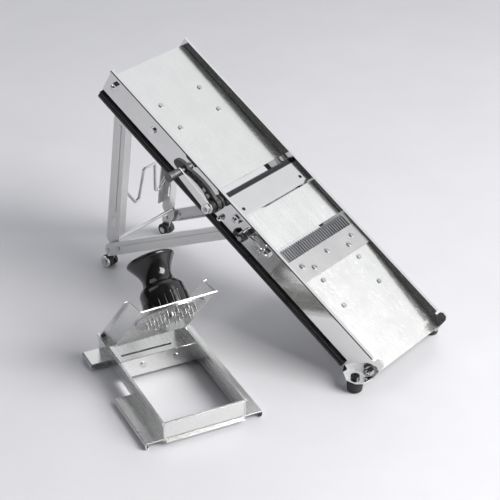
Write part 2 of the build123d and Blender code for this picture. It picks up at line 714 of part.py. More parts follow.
# ---------------------------------------------------------------- lower thickness lever
lower_finger_s = 183.0
lower_finger_n = middle_top(lower_finger_s) - sheet - 0.3 - 1.0
with BuildPart() as lower_lever_shaft:
    side_rod(lower_shaft_s, lower_shaft_n, -(outer + 13.0), outer + 1.5, shaft_radius)
    for side in (-1, 1):
        side_rod(lower_shaft_s, lower_shaft_n, side * (half - 0.5), side * (half - 8.0), 3.2)
        finger([(lower_shaft_s, lower_shaft_n), (lower_finger_s, lower_finger_n)], side * (half - 5.5), 4.0,
               2.2, 1.0)
save(lower_lever_shaft.part, "lower_lever_shaft")

with BuildPart() as lower_lever_collar:
    side_rod(lower_shaft_s, lower_shaft_n, -(outer + 0.6), -(outer + 5.4), 5.6)
    with Locations(Location(deck_point(lower_shaft_s, -(outer + 4.9), lower_shaft_n), (90, 0, 0))):
        Cylinder(4.2, 1.2, mode=Mode.SUBTRACT)
    side_hole(lower_shaft_s, lower_shaft_n, shaft_radius + 0.02)
save(lower_lever_collar.part, "lower_lever_collar")

with BuildPart() as lower_lever_arm:
    with BuildSketch(deck_side(-(outer + 5.5))):
        with Locations((-lower_shaft_s, lower_shaft_n)):
            Circle(5.2)
        with BuildLine():
            Polyline((-lower_shaft_s - 1.5, lower_shaft_n + 5.0), (-160.0, -5.2), (-152.5, -6.4), (-150.5, -11.0),
                     (-154.0, -14.4), (-162.0, -14.0), (-lower_shaft_s + 1.0, lower_shaft_n - 5.1), close=True)
        make_face()
        with Locations((-155.5, -9.8)):
            Circle(1.6, mode=Mode.SUBTRACT)
    extrude(amount=2.2)
    side_hole(lower_shaft_s, lower_shaft_n, shaft_radius + 0.02)
save(lower_lever_arm.part, "lower_lever_arm")

with BuildPart() as lower_lever_nut:
    side_hex(lower_shaft_s, lower_shaft_n, -(outer + 7.8), -(outer + 11.6), 8.0)
    side_hole(lower_shaft_s, lower_shaft_n, shaft_radius + 0.05)
save(lower_lever_nut.part, "lower_lever_nut")

# ---------------------------------------------------------------- rear stand
hinge = deck_point(leg_pivot_s, 0, leg_pivot_n)
lean = radians(leg_lean)
leg_dir = (-sin(lean), 0, -cos(lean))
leg_length = (hinge[2] - foot_radius) / cos(lean) - foot_drop    # hinge to the hook for the brace pin
hook = (hinge[0] + leg_dir[0] * leg_length, 0, hinge[2] + leg_dir[2] * leg_length)
foot_axis = (hook[0] + leg_dir[0] * foot_drop, 0, foot_radius)
brace_top = deck_point(brace_pivot_s, 0, brace_pivot_n)
brace_len = hypot(brace_top[0] - hook[0], brace_top[2] - hook[2])
brace_dir = ((hook[0] - brace_top[0]) / brace_len, 0, (hook[2] - brace_top[2]) / brace_len)


def leg_plane(y):
    """Local x down the leg from the hinge, local y to the front, normal -Y."""
    return Plane(origin=(hinge[0], y, hinge[2]), x_dir=leg_dir, z_dir=(0, -1, 0))


def brace_plane(y):
    """Local x down the brace from its bolt, local y to its underside or top, normal -Y."""
    return Plane(origin=(brace_top[0], y, brace_top[2]), x_dir=brace_dir, z_dir=(0, -1, 0))


foot_along = (foot_axis[0] - hinge[0]) * leg_dir[0] + (foot_axis[2] - hinge[2]) * leg_dir[2]
foot_side = (foot_axis[0] - hinge[0]) * -leg_dir[2] + (foot_axis[2] - hinge[2]) * leg_dir[0]
slot_along = leg_length - 36.0
pin_radius = 2.6


def make_leg(side):
    front = leg_width / 2 - leg_offset
    back = -leg_width / 2 - leg_offset
    with BuildPart() as leg:
        # web, narrowing to the hinge eye and to the foot
        with BuildSketch(leg_plane(side * leg_outer)):
            with BuildLine():
                Polyline((0, 3.9), (9.0, 3.9), (40.0, front), (leg_length - 6.0, front), (leg_length + 4.0, 6.0),
                         (foot_along, foot_side + 4.4), (foot_along + 1.0, foot_side - 4.4),
                         (leg_length + 6.0, back + 2.0), (leg_length - 4.0, back), (20.0, back), (9.0, -3.9),
                         (0, -3.9), close=True)
            make_face()
            Circle(3.9)
            with Locations((foot_along, foot_side)):
                Circle(4.4)
        extrude(amount=side * leg_sheet)
        # side flanges turned inwards
        for edge in (front, back + leg_sheet):
            with BuildSketch(leg_plane(side * (leg_outer - 0.01))):
                with BuildLine():
                    Polyline((42.0, edge), (leg_length - 20.0, edge), (leg_length - 20.0, edge - leg_sheet),
                             (42.0, edge - leg_sheet), close=True)
                make_face()
            extrude(amount=side * leg_channel)
        # pressed rib down the web
        with BuildSketch(leg_plane(side * leg_outer)):
            with Locations(((48.0 + slot_along - 14.0) / 2, -leg_offset)):
                RectangleRounded(slot_along - 62.0, 5.0, 1.2)
        extrude(amount=-side * 0.9)
        # hinge hole, slot, foot hole, open hook for the brace pin
        with BuildSketch(leg_plane(side * (leg_outer + 2))):
            Circle(pivot_radius + run_fit)
            with Locations((slot_along, -leg_offset)):
                SlotOverall(13.0, 3.6)
            with Locations((foot_along, foot_side)):
                Circle(2.1)
        extrude(amount=side * 6, mode=Mode.SUBTRACT)
        with BuildSketch(leg_plane(side * (leg_outer + 2))):
            with Locations((leg_length, 0)):
                Circle(pin_radius + 0.25)
            with BuildLine():
                r = pin_radius + 0.25
                Polyline((leg_length - r, 0), (leg_length + r, 0), (leg_length - 9.0 + r + 3.0, back - 3.0),
                         (leg_length - 9.0 - r - 3.0, back - 3.0), close=True)
            make_face()
        extrude(amount=side * 6, mode=Mode.SUBTRACT)
    return leg.part


save(make_leg(-1), "stand_leg_left")
save(make_leg(1), "stand_leg_right")

rod_along = leg_length - 15.5
rod_front = leg_width / 2 - leg_offset - 2.2
with BuildPart() as stand_cross_rod:
    p = leg_plane(0).from_local_coords((rod_along, rod_front, 0))
    with Locations(Location((p.X, 0, p.Z), (90, 0, 0))):
        Cylinder(2.0, 2 * (leg_outer - leg_sheet - 0.05))
save(stand_cross_rod.part, "stand_cross_rod")

# bent wire between the legs, humped in the middle
wire_radius = 1.6
wire_end = leg_outer - leg_sheet - 0.05
wire_side = leg_width / 2 - leg_offset - leg_sheet - wire_radius - 0.2


def leg_world(along, across, y):
    p = leg_plane(y).from_local_coords((along, across, 0))
    return (p.X, p.Y, p.Z)


wire_points = [
    (wire_end, 127.5), (wire_end - 6.0, 127.5), (18.5, 152.5), (13.0, 150.0), (8.5, 114.0),
    (-8.5, 114.0), (-13.0, 150.0), (-18.5, 152.5), (-(wire_end - 6.0), 127.5), (-wire_end, 127.5)]
with BuildPart() as stand_wire:
    corners = [leg_world(a, wire_side, y) for y, a in wire_points]
    with BuildLine():
        path = FilletPolyline(*corners, radius=2.4)
    with BuildSketch(Plane(origin=path @ 0, z_dir=path % 0)):
        Circle(wire_radius)
    sweep(path=path)
save(stand_wire.part, "stand_wire")

with BuildPart() as stand_feet:
    for side in (-1, 1):
        inner_y, outer_y = leg_outer - leg_sheet - 4.0, leg_outer - leg_sheet - 0.1
        with Locations(Location((foot_axis[0], side * (inner_y + outer_y) / 2, foot_axis[2]), (90, 0, 0))):
            Cylinder(foot_radius, outer_y - inner_y)
            Cylinder(2.1, outer_y - inner_y + 2, mode=Mode.SUBTRACT)
        inner_y, outer_y = leg_outer + 0.1, half - 1.4
        with Locations(Location((foot_axis[0], side * (inner_y + outer_y) / 2, foot_axis[2]), (90, 0, 0))):
            Cylinder(foot_radius, outer_y - inner_y)
            Cylinder(2.1, outer_y - inner_y + 2, mode=Mode.SUBTRACT)
save(stand_feet.part, "stand_feet")

with BuildPart() as stand_foot_caps:
    for side in (-1, 1):
        with Locations(Location((foot_axis[0], side * (half - 1.3 + 0.7), foot_axis[2]), (90, 0, 0))):
            Cylinder(foot_radius - 0.4, 1.4)
        with Locations(Location((foot_axis[0], side * (half - 1.3 + 1.3), foot_axis[2]), (90, 0, 0))):
            Cylinder(3.6, 1.6, mode=Mode.SUBTRACT)
            Cylinder(2.1, 8, mode=Mode.SUBTRACT)
save(stand_foot_caps.part, "stand_foot_caps")

with BuildPart() as stand_foot_screws:
    for side in (-1, 1):
        y0, y1 = leg_outer - leg_sheet - 5.2, half + 0.6
        with Locations(Location((foot_axis[0], side * (y0 + y1) / 2, foot_axis[2]), (90, 0, 0))):
            Cylinder(2.0, y1 - y0)
        with Locations(Location((foot_axis[0], side * (half + 0.3), foot_axis[2]), (90, 0, 0))):
            Cylinder(3.3, 1.4)
        with Locations(Location((foot_axis[0], side * (y0 + 0.55), foot_axis[2]), (90, 0, 0))):
            Cylinder(3.4, 1.0)
save(stand_foot_screws.part, "stand_foot_screws")


def make_brace(side):
    """Shallow channel with a raised middle and a pin for the leg hook."""
    with BuildPart() as brace:
        with BuildSketch(brace_plane(side * brace_outer)):
            Circle(brace_width / 2)
            with BuildLine():
                w = brace_width / 2
                Polyline((0, w), (brace_len + 2.8, w), (brace_len + 2.8, -w + 5.0), (brace_len - 2.2, -w), (0, -w),
                         close=True)
            make_face()
        extrude(amount=side * 1.5)
        for edge in (-1, 1):
            with BuildSketch(brace_plane(side * (brace_outer - 0.01))):
                with Locations((brace_len / 2, edge * (brace_width / 2 - 0.75))):
                    Rectangle(brace_len - 30.0, 1.5)
            extrude(amount=side * brace_depth)
        with BuildSketch(brace_plane(side * brace_outer)):
            with Locations((brace_len / 2, 0)):
                RectangleRounded(brace_len - 46.0, 5.0, 1.2)
        extrude(amount=-side * 0.9)
        with BuildSketch(brace_plane(side * (brace_outer + 2))):
            Circle(pivot_radius + run_fit)
            with Locations((brace_len - 18.0, 0)):
                Circle(1.7 + close_fit)
        extrude(amount=side * 6, mode=Mode.SUBTRACT)
        # pin at the low end, reaching into the hook of the leg
        with BuildSketch(brace_plane(side * (brace_outer + 1.0))):
            with Locations((brace_len, 0)):
                Circle(pin_radius)
        extrude(amount=side * (brace_outer + 1.0 - leg_outer + leg_sheet + 1.2))
    return brace.part


save(make_brace(-1), "stand_brace_left")
save(make_brace(1), "stand_brace_right")

with BuildPart() as brace_rivets:
    for side in (-1, 1):
        with BuildSketch(brace_plane(side * (brace_outer + 0.05))):
            with Locations((brace_len - 18.0, 0)):
                Circle(2.9)
        extrude(amount=-side * 0.6)
        with BuildSketch(brace_plane(side * (brace_outer + 0.05))):
            with Locations((brace_len - 18.0, 0)):
                Circle(1.7)
        extrude(amount=side * 2.6)
save(brace_rivets.part, "brace_rivets")

# ---------------------------------------------------------------- carriage on the table
ct, st = cos(radians(carriage_turn)), sin(radians(carriage_turn))


def tray_point(u, v, z):
    """World point from the carriage frame: u forward from the front wall, v across from its middle."""
    return (carriage_x + u * ct - v * st, carriage_y + u * st + v * ct, z)


def tray_level(z=0.0):
    return Plane(origin=tray_point(0, 0, z), x_dir=(ct, st, 0), z_dir=(0, 0, 1))


def tray_across(u=0.0):
    return Plane(origin=tray_point(u, 0, 0), x_dir=(-st, ct, 0), z_dir=(ct, st, 0))


def tray_side(v=0.0):
    return Plane(origin=tray_point(0, v, 0), x_dir=(ct, st, 0), z_dir=(st, -ct, 0))


box_half = box_width / 2
cs = carriage_sheet
hook_inside = runner_reach - cs
hook_drop = 4.4            # inside height of the runner hook


def hook_profile(side):
    """Flange from the box side out to the hook that runs under the lip."""
    top = runner_level
    low = top - cs - hook_drop - cs
    r = 2.2
    bend = [(r * (1 - sin(radians(a))), r * (1 - cos(radians(a)))) for a in (0, 22.5, 45, 67.5, 90)]
    outside = [(runner_reach - x, top - y) for x, y in bend]
    under = [(runner_reach - x, low + y) for x, y in reversed(bend)]
    inside = [(hook_inside - 2.4, low), (hook_inside - 2.4, low + cs), (hook_inside - 0.8, low + cs),
              (hook_inside, low + cs + 0.8), (hook_inside, top - cs - 0.8), (hook_inside - 0.8, top - cs)]
    root = [(box_half + cs - 0.05, top - cs), (box_half + cs - 0.05, top)]
    return [(side * y, z) for y, z in outside + under + inside + root]


def make_side(side, runners):
    with BuildPart() as wall:
        with BuildSketch(tray_across(0)):
            with BuildLine():
                Polyline((side * box_half, box_bottom), (side * box_half, box_top),
                         (side * (box_half + cs + 1.4), box_top), (side * (box_half + cs + 1.4), box_top - 2.8),
                         (side * (box_half + cs + 0.5), box_top - 2.8), (side * (box_half + cs + 0.5), box_top - cs),
                         (side * (box_half + cs), box_top - cs), (side * (box_half + cs), box_bottom), close=True)
            make_face()
        extrude(amount=-side_length)
        for start, end in runners:
            with BuildSketch(tray_across(-start)):
                with BuildLine():
                    Polyline(*hook_profile(side), close=True)
                make_face()
            extrude(amount=-(end - start))
    return wall.part


save(make_side(-1, [(0.0, 78.0), (141.0, side_length)]), "carriage_left_side")
save(make_side(1, [(0.0, side_length)]), "carriage_right_side")

end_half = box_half - 0.1
with BuildPart() as carriage_front_wall:
    with BuildSketch(tray_level(box_bottom)):
        with Locations((-cs / 2, 0)):
            Rectangle(cs, 2 * end_half)
    extrude(amount=box_top - box_bottom)
    with BuildSketch(tray_side(end_half)):
        with BuildLine():
            Polyline((0, box_bottom), (3.2, box_bottom), (3.2, box_bottom + 1.0), (0, box_bottom + 2.0), close=True)
        make_face()
    extrude(amount=2 * end_half)
    with BuildSketch(tray_side(end_half)):
        with BuildLine():
            Polyline((-cs, box_top), (1.3, box_top), (1.3, box_top - 2.4), (0.4, box_top - 2.4), (0.4, box_top - cs),
                     (-cs, box_top - cs), close=True)
        make_face()
    extrude(amount=2 * end_half)
save(carriage_front_wall.part, "carriage_front_wall")

rivet_v = 17.5
deck_top = runner_level
with BuildPart() as carriage_rear_deck:
    with BuildSketch(tray_side(end_half)):
        with BuildLine():
            Polyline((-box_length, box_top), (-box_length + cs, box_top), (-box_length + cs, deck_top - cs),
                     (-side_length + 2.0, deck_top - cs), (-side_length + 2.0, deck_top), (-box_length, deck_top),
                     close=True)
        make_face()
    extrude(amount=2 * end_half)
    with BuildSketch(tray_level(0)):
        with Locations((-142.0, 0)):
            SlotOverall(54.0, 3.0, rotation=90)
    extrude(amount=12.0, mode=Mode.SUBTRACT)
    with BuildSketch(tray_across(-box_length - 2)):
        for side in (-1, 1):
            with Locations((side * rivet_v, 16.0)):
                Circle(1.6 + close_fit)
    extrude(amount=6.0, mode=Mode.SUBTRACT)
save(carriage_rear_deck.part, "carriage_rear_deck")

with BuildPart() as carriage_stop_strip:
    with BuildSketch(tray_across(-box_length - 0.05)):
        with Locations((0, 15.5)):
            Rectangle(2 * end_half - 8.0, 12.0)
    extrude(amount=-1.2)
    with BuildSketch(tray_across(-box_length - 3)):
        for side in (-1, 1):
            with Locations((side * rivet_v, 16.0)):
                Circle(1.6 + close_fit)
    extrude(amount=6.0, mode=Mode.SUBTRACT)
save(carriage_stop_strip.part, "carriage_stop_strip")

with BuildPart() as carriage_rivets:
    for side in (-1, 1):
        with BuildSketch(tray_across(-box_length - 1.35)):
            with Locations((side * rivet_v, 16.0)):
                Circle(1.6)
        extrude(amount=cs + 1.45)
        with BuildSketch(tray_across(-box_length + cs + 0.05)):
            with Locations((side * rivet_v, 16.0)):
                Circle(3.0)
        extrude(amount=0.8)
        with BuildSketch(tray_across(-box_length - 1.3)):
            with Locations((side * rivet_v, 16.0)):
                Circle(2.8)
        extrude(amount=-0.8)
save(carriage_rivets.part, "carriage_rivets")

# ---------------------------------------------------------------- pusher parked on the carriage
tilt = radians(push_tilt)
wing_back = wing_height / tan(tilt)      # keeps the rear edge of the wings level when parked
rest_level = box_top + 0.35              # a hair over the carriage sides
rest_u = -135.4                          # low edge of the plate along the carriage
push_centre_u = rest_u + push_length / 2 * cos(tilt)
push_centre_z = rest_level + push_length / 2 * sin(tilt)
push_origin = tray_point(push_centre_u, 4.0, push_centre_z)
pc, ps = cos(radians(carriage_turn + push_turn)), sin(radians(carriage_turn + push_turn))
push_x = (cos(tilt) * pc, cos(tilt) * ps, sin(tilt))
push_n = (-sin(tilt) * pc, -sin(tilt) * ps, cos(tilt))
press = Plane(origin=push_origin, x_dir=push_x, z_dir=push_n)


def press_side(y):
    """Local x along the plate, local y along the knob axis, normal across to -y."""
    o = press.from_local_coords((0, y, 0))
    return Plane(origin=o, x_dir=push_x, z_dir=(ps, -pc, 0))


def press_level(h):
    return press.offset(h)


knob_axis = Plane(origin=press.from_local_coords((knob_offset, 0, 0)), x_dir=push_x, z_dir=push_n)


def knob_level(h):
    return knob_axis.offset(h)


wing_half = push_width / 2
with BuildPart() as pusher_plate:
    with BuildSketch(press_level(0)):
        Rectangle(push_length, push_width)
    extrude(amount=push_sheet)
    for side in (-1, 1):
        with BuildSketch(press_side(side * wing_half)):
            with BuildLine():
                Polyline((-push_length / 2, 0), (-push_length / 2 - wing_back, wing_height),
                         (push_length / 2 - 22.0, wing_height), (push_length / 2, 0), close=True)
            make_face()
        extrude(amount=side * 1.2)
        # outward lips along the top and the rear edge of the wing
        with BuildSketch(press_side(side * (wing_half - 0.01))):
            with BuildLine():
                Polyline((-push_length / 2 - wing_back, wing_height), (push_length / 2 - 22.0, wing_height),
                         (push_length / 2 - 22.0, wing_height - 1.2),
                         (-push_length / 2 - wing_back + 1.2, wing_height - 1.2), close=True)
            make_face()
        extrude(amount=-side * 3.4)
        with BuildSketch(press_side(side * (wing_half - 0.01))):
            lx, ly = sin(tilt), cos(tilt)
            with BuildLine():
                Polyline((-push_length / 2 - 2.0 / tan(tilt), 2.0), (-push_length / 2 - wing_back, wing_height),
                         (-push_length / 2 - wing_back + 1.2 * lx, wing_height + 0.0),
                         (-push_length / 2 - 2.0 / tan(tilt) + 1.2 * lx, 2.0), close=True)
            make_face()
        extrude(amount=-side * 3.4)
    with BuildSketch(knob_level(-2)):
        Circle(2.6)
    extrude(amount=6, mode=Mode.SUBTRACT)
save(pusher_plate.part, "pusher_plate")

disc_radius = 35.0
disc_squash = 0.98
with BuildPart() as pusher_disc:
    with BuildSketch(knob_level(-0.05)):
        Circle(disc_radius)
    extrude(amount=-1.6)
    with BuildSketch(knob_level(-1.65)):
        Circle(disc_radius - 3.0)
    extrude(amount=-0.5)
    with BuildSketch(knob_level(-3)):
        for x, y, turn in ((14, 10, 0), (14, -12, 0), (-8, 20, 90), (-10, -20, 90), (2, 0, 0)):
            with Locations(Location((x, y), turn)):
                SlotOverall(7.0, 1.6)
    extrude(amount=2.2, mode=Mode.SUBTRACT)
    with BuildSketch(knob_level(-4)):
        Circle(1.9)
    extrude(amount=6, mode=Mode.SUBTRACT)
save(pusher_disc.part, "pusher_disc")

prongs_at = [(-22 + 11 * i, -22 + 11 * j) for i in range(5) for j in range(5)
             if hypot(-22 + 11 * i, -22 + 11 * j) < 29 and (i, j) != (2, 2)]
with BuildPart() as pusher_prongs:
    for x, y in prongs_at:
        with BuildSketch(knob_level(-2.2)):
            with Locations((x, y)):
                Circle(0.9)
        extrude(amount=-3.0)
        with BuildSketch(knob_level(-5.2)):
            with Locations((x, y)):
                Circle(0.9)
        extrude(amount=-2.6, taper=16)
save(pusher_prongs.part, "pusher_prongs")


def press_revolve(points):
    """Turned body about the knob axis from (radius, height) points."""
    plane = Plane(origin=knob_axis.origin, x_dir=push_x, z_dir=(ps, -pc, 0))
    with BuildSketch(plane) as profile:
        with BuildLine():
            Polyline(*points, close=True)
        make_face()
    revolve(profile.sketch, axis=Axis(knob_axis.origin, knob_axis.z_dir))


base_height = 27.0
with BuildPart() as pusher_knob_base:
    h0 = push_sheet + 0.05
    press_revolve([(2.0, h0), (knob_base_radius, h0), (knob_base_radius, h0 + 2.0),
                   (knob_base_radius - 1.4, h0 + base_height - 5.0),
                   (knob_base_radius - 4.0, h0 + base_height - 1.0), (knob_base_radius - 7.0, h0 + base_height),
                   (2.0, h0 + base_height)])
    with BuildSketch(knob_level(h0 - 1)):
        with PolarLocations(knob_base_radius + 0.4, 22):
            Circle(1.3)
    extrude(amount=base_height - 5.0, mode=Mode.SUBTRACT)
save(pusher_knob_base.part, "pusher_knob_base")

with BuildPart() as pusher_knob:
    h1 = push_sheet + 0.1 + base_height
    top = knob_height
    rim = knob_top_radius - 1.0
    rise = 3.0
    crown = top - 0.4 + rise
    crown_radius = (rim ** 2 + rise ** 2) / (2 * rise)
    plane = Plane(origin=knob_axis.origin, x_dir=push_x, z_dir=(ps, -pc, 0))
    with BuildSketch(plane):
        with BuildLine():
            Line((0.0, h1), (knob_waist_radius + 2.6, h1))
            Spline((knob_waist_radius + 2.6, h1), (knob_waist_radius, h1 + 7.5),
                   (knob_waist_radius + 2.2, top - 14.0), (knob_top_radius - 0.3, top - 4.6))
            ThreePointArc((knob_top_radius - 0.3, top - 4.6), (knob_top_radius + 0.7, top - 2.6), (rim, top - 0.4))
            ThreePointArc((rim, top - 0.4), (rim / 2, crown - crown_radius + sqrt(crown_radius ** 2 - rim ** 2 / 4)),
                          (0.0, crown))
            Line((0.0, crown), (0.0, h1))
        make_face()
    revolve(axis=Axis(knob_axis.origin, knob_axis.z_dir))
    with BuildSketch(knob_level(h1 - 1.0)):
        Circle(2.0)
    extrude(amount=top - 11.0 - h1, mode=Mode.SUBTRACT)
save(pusher_knob.part, "pusher_knob")

with BuildPart() as pusher_screw:
    with BuildSketch(knob_level(-4.2)):
        Circle(1.8)
    extrude(amount=4.2 + knob_height - 12.5)
    with BuildSketch(knob_level(-2.2)):
        Circle(4.6)
    extrude(amount=-1.6)
save(pusher_screw.part, "pusher_screw")

# ---------------------------------------------------------------- export about the middle of the footprint
boxes = [part.bounding_box() for part in pieces.values()]
middle_x = (min(b.min.X for b in boxes) + max(b.max.X for b in boxes)) / 2
middle_y = (min(b.min.Y for b in boxes) + max(b.max.Y for b in boxes)) / 2
print(f"layout moved by {-middle_x:.4f}, {-middle_y:.4f}")
for name, part in pieces.items():
    placed = part.moved(Location((-middle_x, -middle_y, 0)))
    placed.label = name
    export_step(placed, f"parts/{name}.step")
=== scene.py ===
"""Look development for a standing steel mandoline slicer with its carriage and pusher."""
import json
import math

import bpy
from bpy.props import FloatProperty, FloatVectorProperty, IntProperty, PointerProperty
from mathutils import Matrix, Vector


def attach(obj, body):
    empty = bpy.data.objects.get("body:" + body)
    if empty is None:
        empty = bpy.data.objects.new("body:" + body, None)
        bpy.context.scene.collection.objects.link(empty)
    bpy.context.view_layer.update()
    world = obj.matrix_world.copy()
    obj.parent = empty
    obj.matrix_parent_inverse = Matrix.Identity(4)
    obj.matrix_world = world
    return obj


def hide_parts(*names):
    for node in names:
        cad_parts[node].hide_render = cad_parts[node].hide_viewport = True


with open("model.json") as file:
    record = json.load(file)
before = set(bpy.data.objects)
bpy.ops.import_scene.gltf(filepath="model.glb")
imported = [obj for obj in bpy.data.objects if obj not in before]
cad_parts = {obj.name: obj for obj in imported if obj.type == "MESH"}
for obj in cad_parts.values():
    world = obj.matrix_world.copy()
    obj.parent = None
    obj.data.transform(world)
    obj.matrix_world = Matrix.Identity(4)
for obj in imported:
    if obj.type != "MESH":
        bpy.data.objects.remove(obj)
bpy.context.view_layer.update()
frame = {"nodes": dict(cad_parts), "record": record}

bl_info = {
    "name": "Mandoline Slicer",
    "version": (1, 0, 0),
    "blender": (4, 5, 0),
    "location": "View3D > Sidebar > Mandoline",
    "description": "Finishes the slicer's sheet metal, blades, levers, stand, carriage and pusher",
    "category": "Object",
}

RAMP = math.radians(31.8)        # lips against the table
TRAY_TURN = math.radians(-24.6)  # carriage on the table
PARK_TILT = math.radians(48.6)   # pusher against the carriage
PARK_TURN = math.radians(-22.1)  # pusher, turned on the carriage
LEG_TURN = math.radians(98.4)    # grain along the legs of the stand
BRACE_TURN = math.radians(-24.7)  # grain along the braces
CROSSWISE = math.radians(90)     # grain across the ramp
LIP_HEIGHT = 0.0364              # table to the lips at the low end
HINGE_BACK = 0.3289              # low end of the ramp to the stand's hinge, level
EDGE_LINE = 0.2125               # start of the ground wavy edge, measured up the ramp; the painted edge shade begins here
RIDGE_PITCH = 0.0024             # ridges of the wavy edge, and the spacing of their painted highlight and shade stripes
BAND_RATIO = 3.1831              # bands per unit of scale in the wave texture
SMOOTH_ANGLE = math.radians(28)  # faces that meet at less than this shade as one
MERGE = 0.000002                 # corners of the CAD mesh that are one
CAMERA_PITCH = math.radians(30.1)


def ramp_foot():
    """The table point below the low end of the ramp, measured back from the stand's hinge."""
    for joint in frame["record"]["behaviour"]["joints"]:
        if joint["name"] == "stand_fold":
            return Vector((joint["pos_m"][0] + HINGE_BACK, joint["pos_m"][1], 0.0))
    raise RuntimeError("the stand has no hinge")


# ------------------------------------------------------------------ properties
class MANDOLINE_PG_finish(bpy.types.PropertyGroup):
    steel_colour: FloatVectorProperty(
        name="Polished steel", description="Colour of the polished sheet", subtype="COLOR",
        size=3, min=0, max=1, default=(0.80, 0.80, 0.79))
    satin_colour: FloatVectorProperty(
        name="Satin steel", description="Colour of the brushed comb plate and fittings", subtype="COLOR",
        size=3, min=0, max=1, default=(0.47, 0.47, 0.475))
    black_colour: FloatVectorProperty(
        name="Black plastic", description="Colour of the rails and the knob", subtype="COLOR",
        size=3, min=0, max=1, default=(0.012, 0.012, 0.013))
    polish: FloatProperty(
        name="Polish roughness", description="Roughness of the polished sheet", subtype="FACTOR",
        min=0.02, max=0.6, default=0.22)
    edge_break: FloatProperty(
        name="Edge break", description="Radius of the deburred sheet edges",
        subtype="DISTANCE", unit="LENGTH", min=0.0, max=0.001, default=0.00028)
    edge_segments: IntProperty(
        name="Edge segments", description="Facets over each deburred edge", min=1, max=4, default=2)


class MANDOLINE_PG_studio(bpy.types.PropertyGroup):
    table_colour: FloatVectorProperty(
        name="Table", description="Colour of the plain table top", subtype="COLOR",
        size=3, min=0, max=1, default=(0.66, 0.66, 0.695))
    table_size: FloatProperty(
        name="Table size", description="Side of the table top", subtype="DISTANCE", unit="LENGTH",
        min=1.0, max=20.0, default=12.0)
    key_power: FloatProperty(
        name="Key light", description="Power of the key light", subtype="POWER", unit="POWER",
        min=0.0, max=500.0, default=62.0)
    fill_power: FloatProperty(
        name="Fill light", description="Power of the fill light", subtype="POWER", unit="POWER",
        min=0.0, max=500.0, default=8.0)
    lens: FloatProperty(
        name="Lens", description="Focal length on a 36 mm wide sensor",
        subtype="DISTANCE_CAMERA", unit="CAMERA", min=20.0, max=300.0, default=108.3)


# ------------------------------------------------------------------ shader building
def new_surface(name):
    """A new material and its Principled shader, with Object coordinates ready."""
    material = bpy.data.materials.new(name)
    material.use_nodes = True
    tree = material.node_tree
    shader = tree.nodes["Principled BSDF"]
    coords = tree.nodes.new("ShaderNodeTexCoord")
    coords.name = "coords"
    return material, tree, shader


def mapped(tree, turn=(0, 0, 0), scale=(1, 1, 1)):
    """Object coordinates turned and stretched."""
    mapping = tree.nodes.new("ShaderNodeMapping")
    mapping.vector_type = "TEXTURE"
    mapping.inputs["Rotation"].default_value = turn
    mapping.inputs["Scale"].default_value = [1 / s for s in scale]
    tree.links.new(tree.nodes["coords"].outputs["Object"], mapping.inputs["Vector"])
    return mapping.outputs["Vector"]


def noise(tree, vector, scale, detail=3.0, rough=0.5):
    node = tree.nodes.new("ShaderNodeTexNoise")
    node.inputs["Scale"].default_value = scale
    node.inputs["Detail"].default_value = detail
    node.inputs["Roughness"].default_value = rough
    tree.links.new(vector, node.inputs["Vector"])
    return node.outputs["Fac"]


def spread(tree, value, low, high, start=0.3, end=0.7):
    """Maps a 0..1 value between start and end onto low..high."""
    node = tree.nodes.new("ShaderNodeMapRange")
    node.inputs["From Min"].default_value = start
    node.inputs["From Max"].default_value = end
    node.inputs["To Min"].default_value = low
    node.inputs["To Max"].default_value = high
    tree.links.new(value, node.inputs["Value"])
    return node.outputs["Result"]


def add_values(tree, a, b, operation="ADD"):
    node = tree.nodes.new("ShaderNodeMath")
    node.operation = operation
    tree.links.new(a, node.inputs[0])
    tree.links.new(b, node.inputs[1])
    return node.outputs[0]


def two_colours(tree, factor, first, second):
    node = tree.nodes.new("ShaderNodeValToRGB")
    node.color_ramp.elements[0].position = 0.32
    node.color_ramp.elements[1].position = 0.68
    node.color_ramp.elements[0].color = (*first, 1)
    node.color_ramp.elements[1].color = (*second, 1)
    tree.links.new(factor, node.inputs["Fac"])
    return node.outputs["Color"]


def bump(tree, shader, height, strength, distance):
    node = tree.nodes.new("ShaderNodeBump")
    node.inputs["Strength"].default_value = strength
    node.inputs["Distance"].default_value = distance
    tree.links.new(height, node.inputs["Height"])
    tree.links.new(node.outputs["Normal"], shader.inputs["Normal"])


def shaded(colour, factor):
    return tuple(min(1.0, c * factor) for c in colour)


def rolled_steel(name, colour, roughness, turn, grain=0.05, lines=1400.0, wear=1.0):
    """Sheet metal with fine lines along its own X, faint smudges and small scratches."""
    material, tree, shader = new_surface(name)
    shader.inputs["Metallic"].default_value = 1.0
    lengthwise = mapped(tree, turn, (0.02, 1.0, 1.0))
    fine = noise(tree, lengthwise, lines, 2.0, 0.6)
    smudge = noise(tree, mapped(tree, turn), 34.0, 4.0, 0.55)
    askew = (turn[0] + 0.5, turn[1] + 0.2, turn[2] + 0.9)
    scratch = noise(tree, mapped(tree, askew, (0.04, 1.0, 1.0)), 520.0, 1.0)
    tree.links.new(two_colours(tree, smudge, shaded(colour, 0.97), shaded(colour, 1.02)),
                   shader.inputs["Base Color"])
    spots = spread(tree, smudge, roughness * 0.97, roughness * 1.04)
    streaks = spread(tree, fine, -grain * 0.5, grain)
    marks = spread(tree, scratch, 0.0, 0.06 * wear, 0.66, 0.74)
    tree.links.new(add_values(tree, add_values(tree, spots, streaks), marks), shader.inputs["Roughness"])
    bump(tree, shader, add_values(tree, fine, marks), 0.05, 0.00001)
    return material


